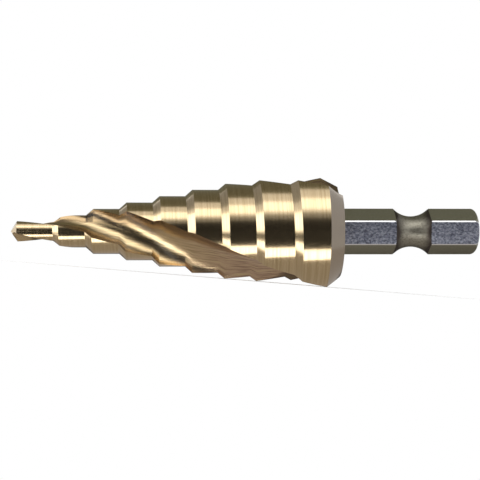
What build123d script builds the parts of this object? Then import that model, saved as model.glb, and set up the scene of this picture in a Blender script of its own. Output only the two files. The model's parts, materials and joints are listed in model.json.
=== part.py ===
from build123d import *
from math import acos, cos, degrees, log, radians, sin, tan
import os

# Step drill: one solid piece of tool steel, with a stepped body cut by two spiral flutes in
# front and a hexagonal quick-change shank behind. Lengths are in millimetres, angles in
# degrees. It is modelled along X with its point at x = 0, and laid on the ground at the end.

# ---- driving dimensions -------------------------------------------------------------------
point_angle = 118.0           # included angle of the drill point
pilot_diameter = 3.3          # small drill in front of the steps
pilot_length = 6.45           # point to the foot of the first step

first_step_diameter = 5.0
step_rise = 2.0               # each step is this much larger in diameter than the last
step_count = 8
step_pitch = 5.16             # from one step to the next, along the axis
step_face_angle = 42.0        # half angle of the cone that leads onto each step
last_step_delay = 0.6         # the largest step starts this much later than its pitch puts it
last_step_length = 4.6        # straight length of the largest step
back_chamfer_length = 2.4     # cone behind the largest step, measured along the axis
back_chamfer_depth = 2.3      # the same cone, measured across the radius

flute_count = 2
helix_angle = 19.0            # right-hand helix, the same from the point to the back
flute_width_at_point = 94.0   # the part of a turn that each flute takes at the point
flute_width_at_back = 68.4    # the same at the back of the body; it changes evenly between
point_web = 0.9               # thickness left between the flutes at the point
web_taper = 0.105             # growth of the web's radius for each millimetre along the axis
pilot_envelope = 1.2          # the flutes of the pilot are laid out on a circle this much larger

shank_length = 21.9           # from the back of the body to the end of the shank
shank_turn = 33.0             # turn of the shank's flats against the flutes
hex_across_flats = 6.35       # quarter-inch quick-change shank
hex_corner_diameter = 7.3     # the hexagon's corners are turned down to this circle
groove_setback = 10.5         # end of the shank to the middle of the retaining groove
groove_width = 5.7
groove_neck_diameter = 4.8
shank_end_rounding = 1.0      # axial length of the rounded end
shank_end_diameter = 4.2      # flat disc left in the middle of the end

cutter_lead = 1.0             # each flute's cutter starts this far in front of the point
cutter_sections = 26          # and is lofted through this many sections
quarter_turn = 90.0

# ---- derived sizes ------------------------------------------------------------------------
pilot_radius = pilot_diameter / 2
point_length = pilot_radius / tan(radians(point_angle / 2))
step_radii = [(first_step_diameter + step_rise * index) / 2 for index in range(step_count)]
face_slope = tan(radians(step_face_angle))
face_length = step_rise / 2 / face_slope
first_corner = pilot_length + (step_radii[0] - pilot_radius) / face_slope
step_corners = [first_corner + step_pitch * index for index in range(step_count)]
step_corners[-1] += last_step_delay
body_end = step_corners[-1] + last_step_length
back_face = body_end + back_chamfer_length
total_length = back_face + shank_length

# The envelope is the smooth cone through the middle of the steps, level along the pilot.
envelope_slope = step_rise / 2 / step_pitch
envelope_start_radius = pilot_envelope * pilot_radius
first_middle = first_corner + (step_pitch - face_length) / 2
envelope_start = first_middle - (step_radii[0] - envelope_start_radius) / envelope_slope


def envelope_radius(x):
    """Radius of the envelope at x."""
    return envelope_start_radius + envelope_slope * max(x - envelope_start, 0)


def flute_turn(x):
    """Turn of a flute at x: its helix angle stays the same all along the steps, and the pilot
    is wound like the first step."""
    growth = max(envelope_radius(x) / step_radii[0], 1)
    turn = min(x, first_middle) / step_radii[0] + log(growth) / envelope_slope
    return -degrees(turn * tan(radians(helix_angle)))


def flute_circle(x):
    """Round profile of a flute at x, as the angle and distance of its centre and its radius.

    It meets the envelope at the cutting edge and at the heel, and goes down to the web."""
    radius = envelope_radius(x)
    web = point_web / 2 + web_taper * max(x, 0)
    width = flute_width_at_point + (flute_width_at_back - flute_width_at_point) * x / back_face
    half_width = width / 2
    distance = (radius**2 - web**2) / (2 * (radius * cos(radians(half_width)) - web))
    return flute_turn(x) + half_width, distance, distance - web


def land_end(x, radius, side):
    """Point where a flute meets a step of this radius: side -1 at its cutting edge, 1 at its heel."""
    middle, distance, size = flute_circle(x)
    opening = acos((radius**2 + distance**2 - size**2) / (2 * radius * distance))
    at = radians(middle) + side * opening
    return Vector(x, -radius * cos(at), radius * sin(at))


def drill_body():
    """The turned blank: point, pilot, steps and back chamfer."""
    outline = [(0, 0), (point_length, pilot_radius), (pilot_length, pilot_radius)]
    for corner, radius in zip(step_corners, step_radii):
        outline += [(corner, radius), (corner + step_pitch - face_length, radius)]
    outline[-1] = (body_end, step_radii[-1])
    outline += [(back_face, step_radii[-1] - back_chamfer_depth), (back_face, 0)]
    return revolve(make_face(Polyline(*outline, close=True)), Axis.X)


def flute_cutter():
    """One flute as a solid, lofted through round sections that turn and grow along the axis."""
    start = -cutter_lead
    stop = back_face + back_chamfer_length / 2
    sections = []
    for index in range(cutter_sections):
        x = start + (stop - start) * index / (cutter_sections - 1)
        middle, distance, size = flute_circle(x)
        place = Plane(origin=(x, 0, 0), x_dir=(0, -1, 0), z_dir=(-1, 0, 0))
        across = distance * cos(radians(middle))
        upward = distance * sin(radians(middle))
        sections.append(place * Pos(across, upward) * Circle(size))
    return loft(sections)


def hex_shank():
    """Hexagonal bar with turned corners, a rounded end and a groove for the holder's balls."""
    corner_radius = hex_corner_diameter / 2
    end_radius = shank_end_diameter / 2
    rounding_start = total_length - shank_end_rounding
    bar = Plane(origin=(back_face, 0, 0), x_dir=(0, 0, 1), z_dir=(1, 0, 0))
    outline = RegularPolygon(hex_across_flats / 2, 6, major_radius=False, rotation=-shank_turn)
    shank = extrude(bar * outline, shank_length)

    turned = [
        Polyline((total_length, end_radius), (total_length, 0), (back_face, 0),
                 (back_face, corner_radius), (rounding_start, corner_radius)),
        EllipticalCenterArc((rounding_start, end_radius), shank_end_rounding,
                            corner_radius - end_radius, start_angle=0, arc_size=quarter_turn),
    ]
    shank &= revolve(make_face(turned), Axis.X)

    middle = total_length - groove_setback
    groove_start = (middle - groove_width / 2, corner_radius)
    groove_end = (middle + groove_width / 2, corner_radius)
    groove = [
        ThreePointArc(groove_start, (middle, groove_neck_diameter / 2), groove_end),
        Polyline(groove_end, (groove_end[0], hex_across_flats),
                 (groove_start[0], hex_across_flats), groove_start),
    ]
    return shank - revolve(make_face(groove), Axis.X)


def ground_plane():
    """Plane that the drill lies on: it touches the cutting edges of the second and third largest
    steps at their front corners, and the heel of the same flute at the back of the largest."""
    front = land_end(step_corners[-3], step_radii[-3], -1)
    middle = land_end(step_corners[-2], step_radii[-2], -1)
    back = land_end(body_end, step_radii[-1], 1)
    up = (middle - front).cross(back - front).normalized()
    if up.dot(front) > 0:
        up = -up
    along = Vector(1, 0, 0) - up * up.X
    return Plane(origin=front, x_dir=along, z_dir=up)


body = drill_body()
cutter = flute_cutter()
for index in range(flute_count):
    body -= cutter.rotate(Axis.X, 360 / flute_count * index)
drill = ground_plane().to_local_coords(body + hex_shank())
box = drill.bounding_box()
drill = Pos(-box.center().X, -box.center().Y, -box.min.Z) * drill

os.makedirs("parts", exist_ok=True)
export_step(drill, "parts/step_drill.step")
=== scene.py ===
"""Looks of a spiral-fluted step drill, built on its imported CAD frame.

The bronze-coated body and the bare steel shank are two pieces that stand for the one CAD node.
Both are modelled in the drill's own coordinates, along X with the point at the origin, and
placed by the rest pose that the record's shank mount gives. Lengths are in millimetres until
a mesh is written, and angles in degrees. The studio and its cards are in metres.
"""

import json
import logging
import math
from dataclasses import dataclass, field
from enum import Enum
from typing import Iterable, Sequence

import bmesh
import bpy
from mathutils import Matrix, Vector


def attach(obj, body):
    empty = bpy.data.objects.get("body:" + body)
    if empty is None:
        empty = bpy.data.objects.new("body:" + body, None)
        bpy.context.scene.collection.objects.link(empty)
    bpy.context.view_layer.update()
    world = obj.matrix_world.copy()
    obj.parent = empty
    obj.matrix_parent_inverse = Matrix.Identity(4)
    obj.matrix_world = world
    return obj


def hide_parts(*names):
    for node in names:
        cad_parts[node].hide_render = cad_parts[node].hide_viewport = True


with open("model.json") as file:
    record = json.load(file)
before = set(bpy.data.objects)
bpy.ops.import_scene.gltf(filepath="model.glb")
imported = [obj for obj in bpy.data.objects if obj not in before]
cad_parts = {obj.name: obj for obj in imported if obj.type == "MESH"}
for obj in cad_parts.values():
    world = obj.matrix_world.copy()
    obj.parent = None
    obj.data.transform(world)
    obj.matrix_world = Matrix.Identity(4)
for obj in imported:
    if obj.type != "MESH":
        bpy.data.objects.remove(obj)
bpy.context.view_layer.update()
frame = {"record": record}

LOG = logging.getLogger("step_drill")
NODE = "step_drill"
BODY = "root"
MM = 0.001

Point = tuple[float, float, float]
Place = tuple[float, float]
Colour = tuple[float, float, float]
Socket = bpy.types.NodeSocket
Feed = bpy.types.NodeSocket | float
Tone = bpy.types.NodeSocket | Colour


# ---------------------------------------------------------------- sizes


@dataclass(frozen=True)
class DrillSize:
    """The drill's sizes.

    They are the CAD source's, with two exceptions. The circle that the hexagon's corners are
    turned to is a little smaller, which gives the bevels their width, and the relief behind the
    cutting edges is an addition.
    """

    point_angle: float = 118.0
    pilot_radius: float = 1.65
    pilot_length: float = 6.45
    first_step_radius: float = 2.5
    step_rise: float = 1.0
    step_count: int = 8
    step_pitch: float = 5.16
    face_angle: float = 42.0
    last_step_delay: float = 0.6
    last_step_length: float = 4.6
    chamfer_length: float = 2.4
    chamfer_depth: float = 2.3
    relief_angle: float = 2.0
    flute_count: int = 2
    helix_angle: float = 19.0
    flute_width_at_point: float = 94.0
    flute_width_at_back: float = 68.4
    point_web: float = 0.45
    web_taper: float = 0.105
    pilot_envelope: float = 1.2
    shank_length: float = 21.9
    shank_turn: float = 33.0
    hex_flat: float = 3.175
    hex_corner: float = 3.61
    groove_setback: float = 10.5
    groove_width: float = 5.7
    groove_neck: float = 2.4
    end_rounding: float = 1.0
    end_radius: float = 2.1

    @property
    def face_slope(self) -> float:
        """Growth of the radius along a step's leading cone."""
        return math.tan(math.radians(self.face_angle))

    @property
    def face_length(self) -> float:
        """Axial length of a step's leading cone."""
        return self.step_rise / self.face_slope

    @property
    def point_length(self) -> float:
        """Axial length of the drill point."""
        return self.pilot_radius / math.tan(math.radians(self.point_angle / 2))

    @property
    def first_corner(self) -> float:
        """Where the first step reaches its full radius."""
        return self.pilot_length + (self.first_step_radius - self.pilot_radius) / self.face_slope

    @property
    def last_radius(self) -> float:
        """Radius of the largest step."""
        return self.step_radius(self.step_count - 1)

    @property
    def body_end(self) -> float:
        """Back end of the largest step."""
        return self.corner(self.step_count - 1) + self.last_step_length

    @property
    def back_face(self) -> float:
        """Back of the body, where the shank starts."""
        return self.body_end + self.chamfer_length

    @property
    def total_length(self) -> float:
        """Length from the point to the end of the shank."""
        return self.back_face + self.shank_length

    @property
    def rounding_start(self) -> float:
        """Where the rounded end of the shank starts."""
        return self.total_length - self.end_rounding

    @property
    def groove_middle(self) -> float:
        """Middle of the ball groove along the axis."""
        return self.total_length - self.groove_setback

    @property
    def flute_gap(self) -> float:
        """Turn from one flute to the next."""
        return 360.0 / self.flute_count

    def step_radius(self, index: int) -> float:
        """Radius of a step, counted from the point."""
        return self.first_step_radius + self.step_rise * index

    def corner(self, index: int) -> float:
        """Front corner of a step along the axis."""
        delay = self.last_step_delay if index == self.step_count - 1 else 0.0
        return self.first_corner + self.step_pitch * index + delay


@dataclass(frozen=True)
class FluteCircle:
    """Round profile of a flute in one section: where its centre is, and its radius."""

    middle: float
    distance: float
    radius: float

    def opening(self, at_radius: float) -> float:
        """Half the angle that the flute takes out of a circle of this radius."""
        across = at_radius**2 + self.distance**2 - self.radius**2
        return math.degrees(math.acos(min(1.0, across / (2 * at_radius * self.distance))))


@dataclass(frozen=True)
class FluteLaw:
    """How the flutes wind and grow along the drill."""

    size: DrillSize

    @property
    def _slope(self) -> float:
        """Growth of the envelope's radius along the axis."""
        return self.size.step_rise / self.size.step_pitch

    @property
    def _start_radius(self) -> float:
        """Radius of the envelope along the pilot."""
        return self.size.pilot_envelope * self.size.pilot_radius

    @property
    def _first_middle(self) -> float:
        """Middle of the first step along the axis."""
        return self.size.first_corner + (self.size.step_pitch - self.size.face_length) / 2

    @property
    def _start(self) -> float:
        """Where the envelope starts to grow."""
        return self._first_middle - (self.size.first_step_radius - self._start_radius) / self._slope

    def envelope(self, x: float) -> float:
        """Radius of the smooth cone through the middle of the steps."""
        return self._start_radius + self._slope * max(x - self._start, 0.0)

    def turn(self, x: float) -> float:
        """Works out how far the first flute has turned.

        Args:
            x: place along the axis.

        Returns:
            The turn in degrees, with the same helix angle all along the steps.
        """
        first = self.size.first_step_radius
        turn = min(x, self._first_middle) / first
        turn += math.log(max(self.envelope(x), first) / first) / self._slope
        return -math.degrees(turn * math.tan(math.radians(self.size.helix_angle)))

    def circle(self, x: float) -> FluteCircle:
        """Works out the flute's round profile.

        Args:
            x: place along the axis.

        Returns:
            The circle that touches the web and meets the envelope at the flute's width.
        """
        s = self.size
        radius = self.envelope(x)
        web = s.point_web + s.web_taper * max(x, 0.0)
        narrowing = (s.flute_width_at_point - s.flute_width_at_back) * x / s.back_face
        half = (s.flute_width_at_point - narrowing) / 2
        reach = radius * math.cos(math.radians(half)) - web
        distance = (radius**2 - web**2) / (2 * reach)
        return FluteCircle(self.turn(x) + half, distance, distance - web)


# ---------------------------------------------------------------- rest pose


@dataclass(frozen=True)
class RestPose:
    """Where the drill lies, from the mount on the end of its shank.

    Args:
        size: the drill's sizes.
        roll: turn about its own axis as it lies, from the level, in degrees.
    """

    size: DrillSize
    roll: float = 81.373443

    def matrix(self) -> Matrix:
        """Returns the matrix from the drill's own coordinates in metres to the row frame."""
        mount = next(m for m in frame["record"]["mounts"] if m["name"] == "shank_end")
        along = Vector(mount["axis"]).normalized()
        level = Vector((0.0, -1.0, 0.0))
        rise = along.cross(-level).normalized()
        roll = math.radians(self.roll)
        minus_y = (level * math.cos(roll) + rise * math.sin(roll)).normalized()
        upward = along.cross(-minus_y)
        point = Vector(mount["pos_m"]) - along * self.size.total_length * MM
        turned = Matrix((along, -minus_y, upward)).transposed().to_4x4()
        return Matrix.Translation(point) @ turned


# ---------------------------------------------------------------- mesh writing


class Patch(Enum):
    """What a face belongs to, written to the mesh for the materials.

    On the body, TURNED is a step and FACE is a cone. On the shank, PLAIN and TURNED are the
    smooth and the mottled flats, and FACE is a bevel or the end.
    """

    FLUTE = 0.0
    PLAIN = 0.4
    TURNED = 1.0
    FACE = 2.0


@dataclass
class MeshWriter:
    """Collects grids of points in the drill's own coordinates and writes one mesh.

    Each grid is smooth inside and keeps a sharp edge to its neighbours. Each point has its
    place across and along the tool marks, its patch, and a depth in millimetres: how hollow a
    flute looks at its edges, or how far in the shank is turned.
    """

    name: str
    points: list[Point] = field(default_factory=list)
    faces: list[tuple[int, ...]] = field(default_factory=list)
    across: list[float] = field(default_factory=list)
    along: list[float] = field(default_factory=list)
    patch: list[float] = field(default_factory=list)
    depth: list[float] = field(default_factory=list)

    def point(self, x: float, radius: float, angle: float) -> Point:
        """A point at x, a radius and an angle round the axis, from -Y towards +Z."""
        at = math.radians(angle)
        return (x, -radius * math.cos(at), radius * math.sin(at))

    def grid(self, rows: Sequence[Sequence[Point]], patch: Patch,
             marks: Sequence[Sequence[Point]]) -> None:
        """Adds one smooth grid.

        Args:
            rows: points, row by row along the drill.
            patch: what the grid belongs to.
            marks: for each point, its place across and along the tool marks, and its depth.
        """
        first = len(self.points)
        width = len(rows[0])
        for row, row_marks in zip(rows, marks):
            self.points.extend(row)
            self.across.extend(mark[0] for mark in row_marks)
            self.along.extend(mark[1] for mark in row_marks)
            self.depth.extend(mark[2] for mark in row_marks)
            self.patch.extend(patch.value for _ in row)
        for r in range(len(rows) - 1):
            for c in range(width - 1):
                a = first + r * width + c
                self.faces.append((a, a + 1, a + width + 1, a + width))

    def disc(self, rim: Sequence[Point], share: float) -> None:
        """Closes an outline with a ring of faces.

        Args:
            rim: points round the axis, the last one the same as the first.
            share: size of the small hole left in the middle, as a share of the rim.
        """
        rows = [list(rim), [(x, y * share, z * share) for x, y, z in rim]]
        marks = [[(math.hypot(y, z), 0.0, 0.0) for _, y, z in row] for row in rows]
        self.grid(rows, Patch.FACE, marks)

    def write(self, place: Matrix, material: bpy.types.Material) -> bpy.types.Object:
        """Writes the mesh in the row frame.

        Args:
            place: matrix from the drill's own coordinates to the row frame.
            material: the finish.

        Returns:
            The piece, which rides on the body and stands for the CAD node.
        """
        mesh = bpy.data.meshes.new(self.name)
        mesh.from_pydata([place @ (Vector(p) * MM) for p in self.points], [], self.faces)
        layers = {"across": self.across, "along": self.along, "patch": self.patch, "depth": self.depth}
        for name, values in layers.items():
            layer = mesh.attributes.new(name, "FLOAT", "POINT")
            layer.data.foreach_set("value", values)
        piece = bpy.data.objects.new(self.name, mesh)
        bpy.context.scene.collection.objects.link(piece)
        self._clean(mesh)
        mesh.materials.append(material)
        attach(piece, BODY)
        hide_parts(NODE)
        LOG.info("%s: %d faces", self.name, len(mesh.polygons))
        return piece

    @staticmethod
    def _clean(mesh: bpy.types.Mesh) -> None:
        """Drops faces without area, turns all faces outwards and shades the mesh smooth.

        Args:
            mesh: the mesh to clean.
        """
        work = bmesh.new()
        work.from_mesh(mesh)
        bmesh.ops.dissolve_degenerate(work, dist=1e-7, edges=work.edges[:])
        bmesh.ops.recalc_face_normals(work, faces=work.faces[:])
        work.to_mesh(mesh)
        work.free()
        mesh.shade_smooth()


# ---------------------------------------------------------------- body


@dataclass(frozen=True)
class Run:
    """A straight run of the turned outline, with (x, radius) at each end."""

    start: Place
    end: Place
    patch: Patch
    rows: int


@dataclass(frozen=True)
class Station:
    """A place of the outline: where it is at the cutting edge and at the heel, and its radius."""

    x: float
    heel_x: float
    radius: float


@dataclass
class DrillBody:
    """The bronze-coated body: point, pilot, steps and back cone, with two flutes.

    Args:
        size: the drill's sizes.
        law: how the flutes wind and grow.
        flute_columns: faces across a flute.
        land_columns: faces across a land.
        sweep: angle from the middle of a flute to its edge that its finish makes it seem to have.
        tip: where the point's mesh starts along the axis.
        hub_share: size of the hole in the back face, as a share of the body; the shank fills it.
        heel_rounds: rounds that settle where the heel has fallen back to.
        point_rows: faces along the point; the other rows are those along their own runs.
    """

    size: DrillSize
    law: FluteLaw
    flute_columns: int = 44
    land_columns: int = 40
    sweep: float = 60.0
    tip: float = 0.02
    hub_share: float = 0.25
    heel_rounds: int = 4
    point_rows: int = 14
    pilot_rows: int = 34
    first_face_rows: int = 10
    step_rows: int = 18
    face_rows: int = 9
    last_step_rows: int = 22
    chamfer_rows: int = 12

    def runs(self) -> list[Run]:
        """Lists the turned outline.

        Returns:
            Its straight runs, from the point to the back.
        """
        s = self.size
        tip = (self.tip, self.tip * math.tan(math.radians(s.point_angle / 2)))
        shoulder = (s.point_length, s.pilot_radius)
        foot = (s.pilot_length, s.pilot_radius)
        runs = [
            Run(tip, shoulder, Patch.FACE, self.point_rows),
            Run(shoulder, foot, Patch.TURNED, self.pilot_rows),
            Run(foot, (s.first_corner, s.first_step_radius), Patch.FACE, self.first_face_rows),
        ]
        for index in range(s.step_count - 1):
            here = (s.corner(index), s.step_radius(index))
            ahead = (s.corner(index + 1), s.step_radius(index + 1))
            back = (ahead[0] - s.face_length, here[1])
            runs.append(Run(here, back, Patch.TURNED, self.step_rows))
            runs.append(Run(back, ahead, Patch.FACE, self.face_rows))
        last = (s.corner(s.step_count - 1), s.last_radius)
        end = (s.body_end, s.last_radius)
        runs.append(Run(last, end, Patch.TURNED, self.last_step_rows))
        back = (s.back_face, s.last_radius - s.chamfer_depth)
        runs.append(Run(end, back, Patch.FACE, self.chamfer_rows))
        return runs

    def build(self, place: Matrix, material: bpy.types.Material) -> bpy.types.Object:
        """Builds the body.

        Args:
            place: matrix from the drill's own coordinates to the row frame.
            material: the coated steel.

        Returns:
            The body's object.
        """
        writer = MeshWriter("drill_body")
        turns = [self.size.flute_gap * index for index in range(self.size.flute_count)]
        stations: list[Station] = []
        for run in self.runs():
            line = [self._station(run, i / run.rows) for i in range(run.rows + 1)]
            stations.extend(line if not stations else line[1:])
            for turn in turns:
                self._land(writer, line, turn, run.patch)
        for turn in turns:
            self._flute(writer, stations, turn)
        self._back(writer, stations[-1], turns)
        return writer.write(place, material)

    def _station(self, run: Run, ahead: float) -> Station:
        """Works out one place of the outline.

        Args:
            run: the run that it is on.
            ahead: how far along the run, from 0 to 1.

        Returns:
            The place, with how far it has fallen back at the heel.
        """
        x = run.start[0] + (run.end[0] - run.start[0]) * ahead
        radius = run.start[1] + (run.end[1] - run.start[1]) * ahead
        relief = self._relief(run, ahead) * math.tan(math.radians(self.size.relief_angle))
        heel_x = x
        for _ in range(self.heel_rounds if relief else 0):
            width = self._edge(x, radius) + self.size.flute_gap - self._heel(heel_x, radius)
            heel_x = x + relief * radius * math.radians(width)
        return Station(x, heel_x, radius)

    def _edge(self, x: float, radius: float) -> float:
        """Angle of the first flute's cutting edge at x and a radius."""
        circle = self.law.circle(x)
        return circle.middle - circle.opening(radius)

    def _heel(self, x: float, radius: float) -> float:
        """Angle of the first flute's heel at x and a radius."""
        circle = self.law.circle(x)
        return circle.middle + circle.opening(radius)

    def _relief(self, run: Run, ahead: float) -> float:
        """Says how much of the relief a place of the outline has.

        Args:
            run: the run that it is on.
            ahead: how far along the run, from 0 to 1.

        Returns:
            1 on the leading cones and between them, growing from 0 along the pilot and fading
            to 0 along the largest step, and 0 on the point and behind the steps.
        """
        if run.start[0] < self.size.point_length or run.start[0] >= self.size.body_end:
            return 0.0
        if run.patch is Patch.FACE:
            return 1.0
        if run.start[0] <= self.size.point_length:
            return ahead
        return 1.0 - ahead if run.end[0] >= self.size.body_end else 1.0

    def _land(self, writer: MeshWriter, line: list[Station], turn: float, patch: Patch) -> None:
        """Adds the land behind a flute along one run.

        Args:
            writer: the mesh being made.
            line: places along the run.
            turn: turn of the flute against the first one.
            patch: what the land belongs to.
        """
        rows, marks = [], []
        travelled = 0.0
        last = line[0]
        for station in line:
            travelled += math.dist((station.x, station.radius), (last.x, last.radius))
            last = station
            heel = self._heel(station.heel_x, station.radius) + turn
            edge = self._edge(station.x, station.radius) + turn + self.size.flute_gap
            row, row_marks = [], []
            for c in range(self.land_columns + 1):
                share = c / self.land_columns
                angle = heel + (edge - heel) * share
                x = station.heel_x + (station.x - station.heel_x) * share
                row.append(writer.point(x, station.radius, angle))
                row_marks.append((line[0].x + travelled, math.radians(angle) * station.radius, 0.0))
            rows.append(row)
            marks.append(row_marks)
        writer.grid(rows, patch, marks)

    def _flute(self, writer: MeshWriter, stations: list[Station], turn: float) -> None:
        """Adds one flute along the whole body.

        Args:
            writer: the mesh being made.
            stations: places along the outline.
            turn: turn of the flute against the first one.
        """
        rows, marks = [], []
        for station in stations:
            low = self._reach(station.x, station.radius)
            high = self._reach(station.heel_x, station.radius)
            hollow = (math.radians(self.sweep) - low) * self.law.circle(station.x).radius * low / 2
            row, row_marks = [], []
            for c in range(self.flute_columns + 1):
                share = c / self.flute_columns
                x = station.x + (station.heel_x - station.x) * share
                row.append(self._profile_point(x, (low + high) * share - low, turn))
                row_marks.append((2 * share - 1, x, hollow))
            rows.append(row)
            marks.append(row_marks)
        writer.grid(rows, Patch.FLUTE, marks)

    def _reach(self, x: float, radius: float) -> float:
        """Works out how much of a flute's round profile is inside a radius.

        Args:
            x: place along the axis.
            radius: radius of the body there.

        Returns:
            Half the arc in radians, seen from the profile's centre.
        """
        circle = self.law.circle(x)
        opening = math.radians(circle.opening(radius))
        return math.atan2(radius * math.sin(opening), circle.distance - radius * math.cos(opening))

    def _profile_point(self, x: float, swing: float, turn: float) -> Point:
        """Works out a point of a flute's round profile.

        Args:
            x: place along the axis.
            swing: angle from the profile's middle towards the heel, in radians.
            turn: turn of the flute against the first one.

        Returns:
            The point.
        """
        circle = self.law.circle(x)
        centre = math.radians(circle.middle + turn)
        inward = centre + math.pi - swing
        y = circle.distance * math.cos(centre) + circle.radius * math.cos(inward)
        z = circle.distance * math.sin(centre) + circle.radius * math.sin(inward)
        return (x, -y, z)

    def _back(self, writer: MeshWriter, station: Station, turns: Iterable[float]) -> None:
        """Closes the back of the body.

        Args:
            writer: the mesh being made.
            station: the last place of the outline.
            turns: turn of each flute against the first one.
        """
        reach = self._reach(station.x, station.radius)
        outline: list[Point] = []
        for turn in turns:
            for c in range(self.flute_columns):
                swing = reach * (2 * c / self.flute_columns - 1)
                outline.append(self._profile_point(station.x, swing, turn))
            heel = self._heel(station.x, station.radius) + turn
            edge = self._edge(station.x, station.radius) + turn + self.size.flute_gap
            for c in range(self.land_columns):
                angle = heel + (edge - heel) * c / self.land_columns
                outline.append(writer.point(station.x, station.radius, angle))
        outline.append(outline[0])
        writer.disc(outline, self.hub_share)


# ---------------------------------------------------------------- shank


@dataclass
class HexShank:
    """The bare hexagonal shank with turned corners, a ball groove and a rounded end.

    Args:
        size: the drill's sizes.
        sides: flats of the hexagon.
        flat_columns: faces across a flat.
        bevel_columns: faces across a turned corner.
        end_columns: faces round the end.
        plain_rows: faces along each plain stretch.
        groove_rows: faces along the groove.
        rounding_rows: faces along the rounded end.
        root: how far the shank starts inside the body.
        end_hub: radius of the small hole left in the middle of the end.
    """

    size: DrillSize
    sides: int = 6
    flat_columns: int = 40
    bevel_columns: int = 6
    end_columns: int = 96
    plain_rows: int = 14
    groove_rows: int = 96
    rounding_rows: int = 26
    root: float = 0.4
    end_hub: float = 0.02

    def turned_radius(self, x: float) -> float:
        """Works out what the corners, the groove and the end are turned to.

        Args:
            x: place along the axis.

        Returns:
            The turned radius.
        """
        s = self.size
        radius = s.hex_corner
        if x > s.rounding_start:
            run = min((x - s.rounding_start) / s.end_rounding, 1.0)
            radius = s.end_radius + (s.hex_corner - s.end_radius) * math.sqrt(1 - run**2)
        half = s.groove_width / 2
        depth = s.hex_corner - s.groove_neck
        arc = (half**2 + depth**2) / (2 * depth)
        away = abs(x - s.groove_middle)
        if away < half:
            radius = min(radius, s.groove_neck + arc - math.sqrt(arc**2 - away**2))
        return radius

    def stations(self) -> list[float]:
        """Lists places along the axis.

        Returns:
            The places, closer together in the groove and at the end.
        """
        s = self.size
        groove = (s.groove_middle - s.groove_width / 2, s.groove_middle + s.groove_width / 2)
        runs = [(s.back_face - self.root, groove[0], self.plain_rows), (*groove, self.groove_rows),
                (groove[1], s.rounding_start, self.plain_rows)]
        places = [runs[0][0]]
        for start, end, count in runs:
            places.extend(start + (end - start) * (i + 1) / count for i in range(count))
        for i in range(self.rounding_rows):
            share = math.sin(math.pi / 2 * (i + 1) / self.rounding_rows)
            places.append(s.rounding_start + s.end_rounding * share)
        return places

    def build(self, place: Matrix, material: bpy.types.Material) -> bpy.types.Object:
        """Builds the shank.

        Args:
            place: matrix from the drill's own coordinates to the row frame.
            material: the bare steel.

        Returns:
            The shank's object.
        """
        writer = MeshWriter("drill_shank")
        half_flat = math.degrees(math.acos(self.size.hex_flat / self.size.hex_corner))
        places = self.stations()
        turn = 360.0 / self.sides
        for side in range(self.sides):
            middle = turn * side + self.size.shank_turn
            finish = Patch.PLAIN if side % 2 else Patch.TURNED
            self._strip(writer, places, middle, half_flat, self.flat_columns, finish)
            half_bevel = turn / 2 - half_flat
            self._strip(writer, places, middle + turn / 2, half_bevel, self.bevel_columns, Patch.FACE)
        rim = [writer.point(places[-1], self.size.end_radius, 360.0 * c / self.end_columns)
               for c in range(self.end_columns + 1)]
        writer.disc(rim, self.end_hub / self.size.end_radius)
        return writer.write(place, material)

    def _strip(self, writer: MeshWriter, places: list[float], middle: float, half: float,
               columns: int, patch: Patch) -> None:
        """Adds a flat or a turned corner along the whole shank.

        Args:
            writer: the mesh being made.
            places: places along the axis.
            middle: angle of its middle round the axis.
            half: half the angle that it takes.
            columns: faces across it.
            patch: what it belongs to.
        """
        s = self.size
        half_turn = 180.0 / self.sides
        offsets = [half * (2 * c / columns - 1) for c in range(columns + 1)]
        rows, marks = [], []
        for x in places:
            turned = self.turned_radius(x)
            cut = 0.0 if x > s.rounding_start else s.hex_corner - turned
            row, row_marks = [], []
            for offset in offsets:
                around = (middle + offset - s.shank_turn + half_turn) % (2 * half_turn) - half_turn
                flat = s.hex_flat / math.cos(math.radians(around))
                row.append(writer.point(x, min(flat, turned), middle + offset))
                depth = min(cut, max(flat - turned, 0.0) + cut / 2)
                row_marks.append((s.hex_flat * math.radians(offset), x, depth))
            rows.append(row)
            marks.append(row_marks)
        writer.grid(rows, patch, marks)


# ---------------------------------------------------------------- finishes


@dataclass(frozen=True)
class Grain:
    """How fine a noise is and how much smaller detail it has."""

    scale: float
    detail: float
    roughness: float


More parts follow.
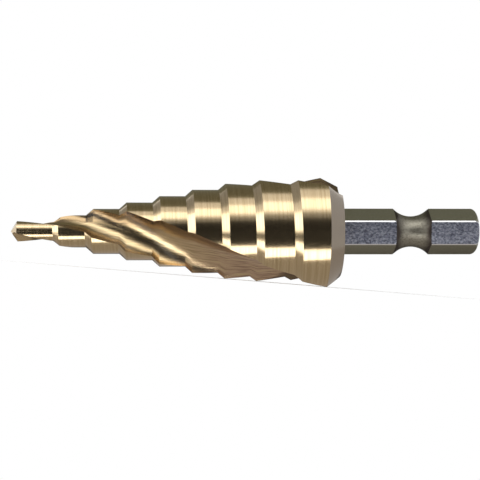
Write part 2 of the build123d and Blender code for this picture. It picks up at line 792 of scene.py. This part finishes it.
@dataclass
class NodeSketch:
    """Small helper that adds and links shader nodes."""

    material: bpy.types.Material

    @property
    def tree(self) -> bpy.types.NodeTree:
        """The material's node tree."""
        return self.material.node_tree

    @property
    def shader(self) -> bpy.types.Node:
        """The material's Principled BSDF."""
        return self.tree.nodes["Principled BSDF"]

    def add(self, kind: str, **settings: object) -> bpy.types.Node:
        """Adds a node.

        Args:
            kind: the node's type.
            settings: its properties.

        Returns:
            The node.
        """
        node = self.tree.nodes.new(kind)
        for name, value in settings.items():
            setattr(node, name, value)
        return node

    def link(self, source: Socket, target: Socket) -> None:
        """Links one socket to another."""
        self.tree.links.new(source, target)

    def feed(self, target: Socket, value: Feed | Tone) -> None:
        """Gives a socket its value.

        Args:
            target: the socket.
            value: a socket to link to it, a number, or a colour.
        """
        if isinstance(value, Socket):
            self.link(value, target)
        else:
            target.default_value = (*value, 1.0) if isinstance(value, tuple) else value

    def math(self, operation: str, first: Feed, second: Feed = 0.0) -> Socket:
        """Adds a Math node.

        Args:
            operation: what it does.
            first: its first value.
            second: its second value.

        Returns:
            The result.
        """
        node = self.add("ShaderNodeMath", operation=operation)
        self.feed(node.inputs[0], first)
        self.feed(node.inputs[1], second)
        return node.outputs[0]

    def attribute(self, name: str) -> Socket:
        """A mesh attribute as a number."""
        return self.add("ShaderNodeAttribute", attribute_name=name).outputs["Fac"]

    def combine(self, *parts: Feed) -> Socket:
        """Makes a vector.

        Args:
            parts: its three parts.

        Returns:
            The vector.
        """
        node = self.add("ShaderNodeCombineXYZ")
        for socket, value in zip(node.inputs, parts):
            self.feed(socket, value)
        return node.outputs[0]

    def noise(self, vector: Socket, grain: Grain) -> Socket:
        """Adds a noise texture.

        Args:
            vector: where it is read.
            grain: how fine it is.

        Returns:
            Its value.
        """
        node = self.add("ShaderNodeTexNoise")
        node.inputs["Scale"].default_value = grain.scale
        node.inputs["Detail"].default_value = grain.detail
        node.inputs["Roughness"].default_value = grain.roughness
        self.link(vector, node.inputs["Vector"])
        return node.outputs["Fac"]

    def ramp(self, value: Socket, places: Sequence[float], colours: Sequence[Colour]) -> Socket:
        """Adds a colour ramp.

        Args:
            value: the value to colour.
            places: where its stops are.
            colours: the stops' colours.

        Returns:
            The colour.
        """
        node = self.add("ShaderNodeValToRGB")
        elements = node.color_ramp.elements
        while len(elements) < len(places):
            elements.new(0.5)
        for element, place, colour in zip(elements, places, colours):
            element.position = place
            element.color = (*colour, 1.0)
        self.link(value, node.inputs["Fac"])
        return node.outputs["Color"]

    def mix(self, factor: Socket, first: Tone, second: Tone) -> Socket:
        """Mixes two colours.

        Args:
            factor: how much of the second there is.
            first: a colour, or a socket that gives one.
            second: the same.

        Returns:
            The mixed colour.
        """
        node = self.add("ShaderNodeMix", data_type="RGBA")
        self.link(factor, node.inputs["Factor"])
        colours = [socket for socket in node.inputs if socket.type == "RGBA"]
        self.feed(colours[0], first)
        self.feed(colours[1], second)
        return next(socket for socket in node.outputs if socket.type == "RGBA")

    def spread(self, value: Socket, source: tuple[float, float],
               target: tuple[float, float] = (0.0, 1.0)) -> Socket:
        """Maps one range of values to another.

        Args:
            value: the value to map.
            source: the range that it has.
            target: the range that it gets.

        Returns:
            The mapped value.
        """
        node = self.add("ShaderNodeMapRange")
        names = ("From Min", "From Max", "To Min", "To Max")
        for name, number in zip(names, (*source, *target)):
            node.inputs[name].default_value = number
        self.link(value, node.inputs["Value"])
        return node.outputs["Result"]

    def bump(self, height: Socket, distance: float) -> None:
        """Raises the surface.

        Args:
            height: the height.
            distance: its unit, in metres.
        """
        node = self.add("ShaderNodeBump")
        node.inputs["Strength"].default_value = 1.0
        node.inputs["Distance"].default_value = distance
        self.link(height, node.inputs["Height"])
        self.link(node.outputs["Normal"], self.shader.inputs["Normal"])


@dataclass(frozen=True)
class CoatedSteel:
    """Bronze-coloured coating over turned steps and ground flutes, with painted shade on the heel side of
    the flutes near the point.

    Args:
        flush_at: where along the flutes, in millimetres, the coating starts to turn rosy and
            where it has turned.
        painted_shade_at: where across a flute, from -1 at the cutting edge to 1 at the heel, the painted
        shade starts and where it is full.
        painted_shade_until: where along the flutes, in millimetres, the painted shade starts to fade and
        where it is gone.
        back_from: place along the outline, in millimetres, behind which a cone is the back one.
        worn_at: values of the wear at which the land is dull and at which it is bright.
        gold_at: values of the streaks at which a flute is dull and at which it is bright.
        rosy_at: the same where the flute is flushed, rosy and bright.
    """

    name: str = "bronze_coating"
    colour: Colour = (0.64, 0.49, 0.285)
    dull: Colour = (0.54, 0.40, 0.21)
    flushed: Colour = (0.38, 0.255, 0.17)
    rosy: Colour = (0.60, 0.42, 0.29)
    back: Colour = (0.45, 0.37, 0.28)
    # Painted shade: a darker colour on the heel side of the flutes near the point, standing in for the dark
    # reflections of a deeper flute.
    painted_shade: Colour = (0.34, 0.24, 0.13)
    flush_at: tuple[float, float] = (24.0, 36.0)
    painted_shade_at: tuple[float, float] = (0.15, 0.45)
    painted_shade_until: tuple[float, float] = (21.0, 27.0)
    back_from: float = 48.5
    roughness: float = 0.20
    flute_roughness: float = 0.23
    coat: float = 1.0
    flute_coat: float = 0.3
    coat_roughness: float = 0.16
    ground_stretch: float = 0.012
    turned_stretch: float = 0.02
    turned_shift: float = 7.0
    worn_at: tuple[float, ...] = (0.35, 0.6)
    gold_at: tuple[float, ...] = (0.4, 0.58)
    rosy_at: tuple[float, ...] = (0.36, 0.52, 0.66)
    streaks: Grain = Grain(22.0, 2.0, 0.55)
    waves: Grain = Grain(3.1, 1.0, 0.5)
    rings: Grain = Grain(7.0, 1.0, 0.5)
    wear: Grain = Grain(3.7, 3.0, 0.6)
    streak_height: float = 0.015
    wave_height: float = 0.05
    ring_height: float = 0.002

    def make(self) -> bpy.types.Material:
        """Makes the material.

        Returns:
            The coating.
        """
        material = bpy.data.materials.new(self.name)
        material.use_nodes = True
        pen = NodeSketch(material)
        along = pen.attribute("along")
        flute = pen.math("LESS_THAN", pen.attribute("patch"), (Patch.FLUTE.value + Patch.TURNED.value) / 2)
        ground = pen.combine(pen.attribute("across"), pen.math("MULTIPLY", along, self.ground_stretch), 0.0)
        streaks = pen.noise(ground, self.streaks)
        turned = pen.combine(pen.attribute("across"), pen.math("MULTIPLY", along, self.turned_stretch),
                             self.turned_shift)
        land_tone = self._land_tone(pen, pen.noise(turned, self.wear))
        tone = pen.mix(flute, land_tone, self._flute_tone(pen, along, streaks))
        pen.link(tone, pen.shader.inputs["Base Color"])
        pen.shader.inputs["Metallic"].default_value = 1.0
        pen.shader.inputs["Coat Roughness"].default_value = self.coat_roughness
        for socket, values in (("Coat Weight", (self.coat, self.flute_coat)),
                               ("Roughness", (self.roughness, self.flute_roughness))):
            pen.link(pen.spread(flute, (0.0, 1.0), values), pen.shader.inputs[socket])
        flute_height = self._flute_height(pen, streaks, pen.noise(ground, self.waves))
        land_height = pen.math("MULTIPLY", pen.noise(turned, self.rings), self.ring_height)
        height = pen.math("ADD", pen.math("MULTIPLY", flute_height, flute),
                          pen.math("MULTIPLY", land_height, pen.math("SUBTRACT", 1.0, flute)))
        pen.bump(height, MM)
        return material

    def _land_tone(self, pen: NodeSketch, worn: Socket) -> Socket:
        """Colours the steps and cones.

        Args:
            pen: draws the nodes.
            worn: where the coating is worn.

        Returns:
            Their colour, duller on the cone behind the largest step.
        """
        tone = pen.ramp(worn, self.worn_at, (self.dull, self.colour))
        cone = pen.math("GREATER_THAN", pen.attribute("patch"), (Patch.TURNED.value + Patch.FACE.value) / 2)
        back = pen.math("GREATER_THAN", pen.math("MULTIPLY", pen.attribute("across"), cone), self.back_from)
        return pen.mix(back, tone, self.back)

    def _flute_tone(self, pen: NodeSketch, along: Socket, streaks: Socket) -> Socket:
        """Colours the flutes.

        Args:
            pen: draws the nodes.
            along: place along the drill.
            streaks: the grinding streaks.

        Returns:
            Their colour: gold in front, rosy behind, and darkened by painted shade next to the heel in
                front.
        """
        gold = pen.ramp(streaks, self.gold_at, (self.dull, self.colour))
        flush = pen.ramp(streaks, self.rosy_at, (self.flushed, self.rosy, self.colour))
        tone = pen.mix(pen.spread(along, self.flush_at), gold, flush)
        # Painted shade on the heel side of the flutes, fading out along the drill.
        shaded = pen.math("MULTIPLY", pen.spread(pen.attribute("across"), self.painted_shade_at),
                          pen.spread(along, self.painted_shade_until, (1.0, 0.0)))
        return pen.mix(shaded, tone, self.painted_shade)

    def _flute_height(self, pen: NodeSketch, streaks: Socket, waves: Socket) -> Socket:
        """Raises the flutes.

        Args:
            pen: draws the nodes.
            streaks: the grinding streaks.
            waves: slower unevenness.

        Returns:
            Their height in millimetres, with the hollow that the mesh's depth gives.
        """
        across = pen.attribute("across")
        uneven = pen.math("ADD", pen.math("MULTIPLY", streaks, self.streak_height),
                          pen.math("MULTIPLY", waves, self.wave_height))
        hollow = pen.math("MULTIPLY", pen.attribute("depth"), pen.math("MULTIPLY", across, across))
        return pen.math("ADD", uneven, hollow)


@dataclass(frozen=True)
class BareSteel:
    """Bare steel of the shank, drawn along its length.

    Args:
        groove_from: turned depths, in millimetres, between which the groove's finish starts.
        groove_light_from: turned depths between which the groove's dark ends turn light.
        mottled_at: values of the mottle at which a mottled flat is dark, middling and light.
        drawn_at: values at which a smooth flat is dark and light.
        specks_at: values at which the middle of the groove is dark and light.
    """

    name: str = "bare_steel"
    light: Colour = (0.50, 0.52, 0.60)
    middle: Colour = (0.24, 0.25, 0.31)
    dark: Colour = (0.11, 0.115, 0.15)
    drawn_light: Colour = (0.37, 0.355, 0.27)
    drawn_dark: Colour = (0.31, 0.30, 0.225)
    bevel: Colour = (0.85, 0.85, 0.86)
    groove_light: Colour = (0.34, 0.32, 0.26)
    groove_dark: Colour = (0.20, 0.18, 0.145)
    groove_end: Colour = (0.085, 0.07, 0.06)
    groove_from: tuple[float, float] = (0.02, 0.07)
    groove_light_from: tuple[float, float] = (0.25, 0.95)
    mottled_at: tuple[float, ...] = (0.36, 0.5, 0.66)
    drawn_at: tuple[float, ...] = (0.3, 0.7)
    specks_at: tuple[float, ...] = (0.34, 0.52)
    roughness: float = 0.42
    bevel_roughness: float = 0.22
    stretch: float = 0.6
    mottle: Grain = Grain(4.5, 4.0, 0.65)
    mottle_height: float = 0.03

    def make(self) -> bpy.types.Material:
        """Makes the material.

        Returns:
            The bare steel.
        """
        material = bpy.data.materials.new(self.name)
        material.use_nodes = True
        pen = NodeSketch(material)
        patch = pen.attribute("patch")
        depth = pen.attribute("depth")
        stretched = pen.math("MULTIPLY", pen.attribute("along"), self.stretch)
        mottle = pen.noise(pen.combine(pen.attribute("across"), stretched, patch), self.mottle)
        mottled = pen.ramp(mottle, self.mottled_at, (self.dark, self.middle, self.light))
        smooth = pen.ramp(mottle, self.drawn_at, (self.drawn_dark, self.drawn_light))
        plain = pen.math("LESS_THAN", patch, (Patch.PLAIN.value + Patch.TURNED.value) / 2)
        bevel = pen.math("GREATER_THAN", patch, (Patch.TURNED.value + Patch.FACE.value) / 2)
        outside = pen.mix(bevel, pen.mix(plain, mottled, smooth), self.bevel)
        hollow = pen.ramp(mottle, self.specks_at, (self.groove_dark, self.groove_light))
        inside = pen.mix(pen.spread(depth, self.groove_light_from), self.groove_end, hollow)
        groove = pen.spread(depth, self.groove_from)
        pen.link(pen.mix(groove, outside, inside), pen.shader.inputs["Base Color"])
        pen.shader.inputs["Metallic"].default_value = 1.0
        polished = pen.math("MULTIPLY", bevel, pen.math("SUBTRACT", 1.0, groove))
        pen.link(pen.spread(polished, (0.0, 1.0), (self.roughness, self.bevel_roughness)),
                 pen.shader.inputs["Roughness"])
        pen.bump(mottle, self.mottle_height * MM)
        return material


# ---------------------------------------------------------------- studio


@dataclass(frozen=True)
class Panel:
    """A card bent round the drill's axis that only reflections see.

    Args:
        name: its name.
        start: lowest elevation, from the camera's side over the top.
        stop: highest elevation.
        radiance: how bright it is; 1 is white.
        near: its end towards the point.
        far: its end towards the shank.
        radius: distance from the drill.
        step: the most that one of its faces bends, in degrees.
        clearance: least height above the floor.
    """

    name: str
    start: float
    stop: float
    radiance: Colour
    near: float = -0.12
    far: float = 0.14
    radius: float = 0.19
    step: float = 4.0
    clearance: float = 0.0002

    def corners(self) -> list[list[Point]]:
        """Works out the card's shape.

        Returns:
            Rows of points across the card.
        """
        count = max(2, int((self.stop - self.start) / self.step))
        rows = []
        for i in range(count + 1):
            up = math.radians(self.start + (self.stop - self.start) * i / count)
            y, z = -self.radius * math.cos(up), max(self.radius * math.sin(up), self.clearance)
            rows.append([(self.near, y, z), (self.far, y, z)])
        return rows

    def place(self) -> bpy.types.Object:
        """Places the card."""
        return show_in_reflections(self.name, self.corners(), self.radiance)


@dataclass(frozen=True)
class EndCard:
    """An upright card across the drill's line that only reflections see.

    Args:
        name: its name.
        x: where it stands along the drill's line.
        low: height of its lower edge.
        high: height of its upper edge.
        radiance: how bright it is; 1 is white.
        front: its side towards the camera, across the drill's line.
        back: its other side.
    """

    name: str
    x: float
    low: float
    high: float
    radiance: Colour
    front: float = -0.35
    back: float = 0.35

    def place(self) -> bpy.types.Object:
        """Places the card."""
        rows = [[(self.x, side, z) for side in (self.front, self.back)] for z in (self.low, self.high)]
        return show_in_reflections(self.name, rows, self.radiance)


@dataclass(frozen=True)
class FloorStrip:
    """A card that lies on the floor along the drill and that only reflections see.

    Args:
        name: its name.
        near: distance from the drill's line at the point's end and at the shank's end.
        far: the same for its other side.
        radiance: how bright it is; 1 is white.
        start: its end in front of the point, along the drill's line.
        stop: its end behind the shank.
        height: its height above the floor.
    """

    name: str
    near: tuple[float, float]
    far: tuple[float, float]
    radiance: Colour
    start: float = -0.045
    stop: float = 0.045
    height: float = 0.0001

    def place(self) -> bpy.types.Object:
        """Places the card."""
        rows = [[(self.start, -side[0], self.height), (self.stop, -side[1], self.height)]
                for side in (self.near, self.far)]
        return show_in_reflections(self.name, rows, self.radiance)


def show_in_reflections(name: str, rows: Sequence[Sequence[Point]], radiance: Colour) -> bpy.types.Object:
    """Makes a card that lights nothing and shows only in reflections.

    Args:
        name: its name.
        rows: rows of points across it.
        radiance: how bright it is; 1 is white.

    Returns:
        The card.
    """
    width = len(rows[0])
    mesh = bpy.data.meshes.new(name)
    faces = [(r * width + c, r * width + c + 1, (r + 1) * width + c + 1, (r + 1) * width + c)
             for r in range(len(rows) - 1) for c in range(width - 1)]
    mesh.from_pydata([p for row in rows for p in row], [], faces)
    card = bpy.data.objects.new(name, mesh)
    bpy.context.scene.collection.objects.link(card)
    material = bpy.data.materials.new(name)
    material.use_nodes = True
    tree = material.node_tree
    tree.nodes.clear()
    glow = tree.nodes.new("ShaderNodeEmission")
    glow.inputs["Color"].default_value = (*radiance, 1.0)
    output = tree.nodes.new("ShaderNodeOutputMaterial")
    tree.links.new(glow.outputs[0], output.inputs["Surface"])
    mesh.materials.append(material)
    card.visible_camera = False
    card.visible_diffuse = False
    card.visible_transmission = False
    card.visible_shadow = False
    return card


@dataclass(frozen=True)
class SoftBox:
    """A rectangular soft light.

    Args:
        name: its name.
        elevation: height above the horizon, seen from the camera's side.
        distance: distance from the drill.
        size: width and height.
        power: in watts.
        aim: height of the place that it faces.
    """

    name: str
    elevation: float
    distance: float
    size: tuple[float, float]
    power: float
    aim: float = 0.006

    def place(self) -> bpy.types.Object:
        """Places the light so that it faces the drill.

        Returns:
            The light.
        """
        data = bpy.data.lights.new(self.name, "AREA")
        data.shape = "RECTANGLE"
        data.size, data.size_y = self.size
        data.energy = self.power
        light = bpy.data.objects.new(self.name, data)
        bpy.context.scene.collection.objects.link(light)
        up = math.radians(self.elevation)
        away = Vector((0.0, -math.cos(up), math.sin(up)))
        light.location = Vector((0.0, 0.0, self.aim)) + away * self.distance
        light.rotation_euler = (-away).to_track_quat("-Z", "Y").to_euler()
        return light


REFLECTOR_NEAR = (0.0018, 0.0165)
REFLECTOR_FAR = (0.0043, 0.0240)
SHADE_NEAR = (-0.004, -0.003)
BACK_WALL = 0.19
ROOM_SIDE = 0.35

FIXTURES = (
    Panel("front_card", start=0.0, stop=26.0, radiance=(0.022, 0.022, 0.022)),
    Panel("upper_card", start=26.0, stop=36.0, radiance=(0.3, 0.3, 0.3)),
    Panel("rear_card", start=84.0, stop=179.0, radiance=(0.16, 0.157, 0.115)),
    FloorStrip("floor_card", REFLECTOR_FAR, (BACK_WALL, BACK_WALL), (0.03, 0.03, 0.03)),
    FloorStrip("floor_reflector", REFLECTOR_NEAR, REFLECTOR_FAR, (3.4, 3.4, 3.4)),
    FloorStrip("floor_shade", SHADE_NEAR, REFLECTOR_NEAR, (0.40, 0.37, 0.34)),
    FloorStrip("floor_under", (-BACK_WALL, -BACK_WALL), SHADE_NEAR, (0.12, 0.11, 0.10)),
    FloorStrip("shank_floor", (-ROOM_SIDE, -ROOM_SIDE), (ROOM_SIDE, ROOM_SIDE), (0.5, 0.5, 0.5),
               start=0.045, stop=0.42),
    EndCard("point_reflector", x=-0.055, low=0.0002, high=0.028, radiance=(2.8, 2.8, 2.8),
            front=-0.05, back=0.002),
    EndCard("point_card", x=-0.30, low=0.165, high=0.60, radiance=(0.32, 0.32, 0.32)),
    EndCard("shank_card", x=0.42, low=0.0003, high=0.60, radiance=(0.5, 0.5, 0.51)),
    SoftBox("top_light", elevation=52.0, distance=0.35, size=(0.6, 0.14), power=0.34),
)


@dataclass(frozen=True)
class Studio:
    """White room, pale floor, a soft light and the cards that metal reflects.

    Args:
        fixtures: the light and the cards.
        floor_colour: the floor's paper next to the drill.
        room: the world's brightness; 1 is white.
        reach: half the floor's width.
        clear_at: distances from the drill's line between which the paper turns plain white.
    """

    fixtures: tuple[Panel | EndCard | FloorStrip | SoftBox, ...] = FIXTURES
    floor_colour: Colour = (0.9, 0.9, 0.9)
    room: float = 1.0
    reach: float = 6.0
    clear_at: tuple[float, float] = (0.012, 0.03)

    def build(self) -> None:
        """Builds the studio."""
        self._floor()
        self._world()
        for fixture in self.fixtures:
            fixture.place()

    def _floor(self) -> None:
        """Lays the floor, which turns to plain white away from the drill for what looks at it."""
        mesh = bpy.data.meshes.new("floor")
        sides = ((-1, -1), (1, -1), (1, 1), (-1, 1))
        mesh.from_pydata([(x * self.reach, y * self.reach, 0) for x, y in sides], [], [(0, 1, 2, 3)])
        floor = bpy.data.objects.new("floor", mesh)
        bpy.context.scene.collection.objects.link(floor)
        material = bpy.data.materials.new("floor_paper")
        material.use_nodes = True
        pen = NodeSketch(material)
        pen.feed(pen.shader.inputs["Base Color"], self.floor_colour)
        pen.shader.inputs["Roughness"].default_value = 1.0
        pen.shader.inputs["Specular IOR Level"].default_value = 0.0
        parts = pen.add("ShaderNodeSeparateXYZ")
        pen.link(pen.add("ShaderNodeNewGeometry").outputs["Position"], parts.inputs[0])
        clear = pen.spread(pen.math("ABSOLUTE", parts.outputs["Y"]), self.clear_at)
        path = pen.add("ShaderNodeLightPath")
        seen = pen.math("MAXIMUM", path.outputs["Is Camera Ray"], path.outputs["Is Glossy Ray"])
        seen = pen.math("MAXIMUM", seen, path.outputs["Is Transmission Ray"])
        white = pen.add("ShaderNodeEmission")
        pen.feed(white.inputs["Color"], (1.0, 1.0, 1.0))
        mix = pen.add("ShaderNodeMixShader")
        pen.link(pen.math("MULTIPLY", clear, seen), mix.inputs[0])
        pen.link(pen.shader.outputs[0], mix.inputs[1])
        pen.link(white.outputs[0], mix.inputs[2])
        pen.link(mix.outputs[0], pen.tree.nodes["Material Output"].inputs["Surface"])
        mesh.materials.append(material)

    def _world(self) -> None:
        """Makes the white room."""
        world = bpy.data.worlds.new("studio")
        bpy.context.scene.world = world
        world.use_nodes = True
        room = world.node_tree.nodes["Background"]
        room.inputs["Color"].default_value = (self.room, self.room, self.room, 1.0)


@dataclass(frozen=True)
class Viewpoint:
    """The camera, placed from the drill.

    Args:
        lens_px: focal length in pixels of the square frame.
        frame_px: side of the frame in pixels.
        sensor: width of the camera's sensor, in millimetres.
        clip: nearest distance that it sees, in metres.
        foot: place along the drill that the camera stands square to, in millimetres.
        distance: from the drill's axis, in millimetres.
        below: how far the camera is below the axis, in millimetres.
        dip: how many degrees below the level view the camera stands.
        yaw: turn towards the shank, in degrees.
    """

    lens_px: float = 1330.0
    frame_px: float = 480.0
    sensor: float = 36.0
    clip: float = 0.005
    foot: float = 21.5
    distance: float = 207.8
    below: float = 1.34
    dip: float = 1.2
    yaw: float = 3.87

    def place(self, place: Matrix) -> bpy.types.Object:
        """Places the camera and makes it the scene's.

        Args:
            place: matrix from the drill's own coordinates to the row frame.

        Returns:
            The camera.
        """
        data = bpy.data.cameras.new("camera")
        data.sensor_width = self.sensor
        data.lens = self.sensor * self.lens_px / self.frame_px
        data.clip_start = self.clip
        camera = bpy.data.objects.new("camera", data)
        bpy.context.scene.collection.objects.link(camera)
        along = (place.to_3x3() @ Vector((1, 0, 0))).normalized()
        back = Matrix.Rotation(math.radians(self.dip), 3, along) @ Vector((0, -1, 0))
        upward = along.cross(-back).normalized()
        foot = place @ Vector((self.foot * MM, 0, 0))
        location = foot + back * self.distance * MM - upward * self.below * MM
        turn = Matrix.Rotation(-math.radians(self.yaw), 3, upward)
        look = (turn @ -back).normalized()
        right = look.cross(upward).normalized()
        axes = Matrix((right, upward, -look)).transposed().to_4x4()
        camera.matrix_world = Matrix.Translation(location) @ axes
        bpy.context.scene.camera = camera
        LOG.info("camera at %s", tuple(round(v, 5) for v in location))
        return camera


# ---------------------------------------------------------------- scene


def main() -> None:
    """Builds the drill, the studio and the camera."""
    logging.basicConfig(level=logging.INFO)
    size = DrillSize()
    place = RestPose(size).matrix()
    DrillBody(size, FluteLaw(size)).build(place, CoatedSteel().make())
    HexShank(size).build(place, BareSteel().make())
    Studio().build()
    Viewpoint().place(place)
    bpy.context.scene.view_settings.view_transform = "Standard"


if __name__ == "__main__":
    main()
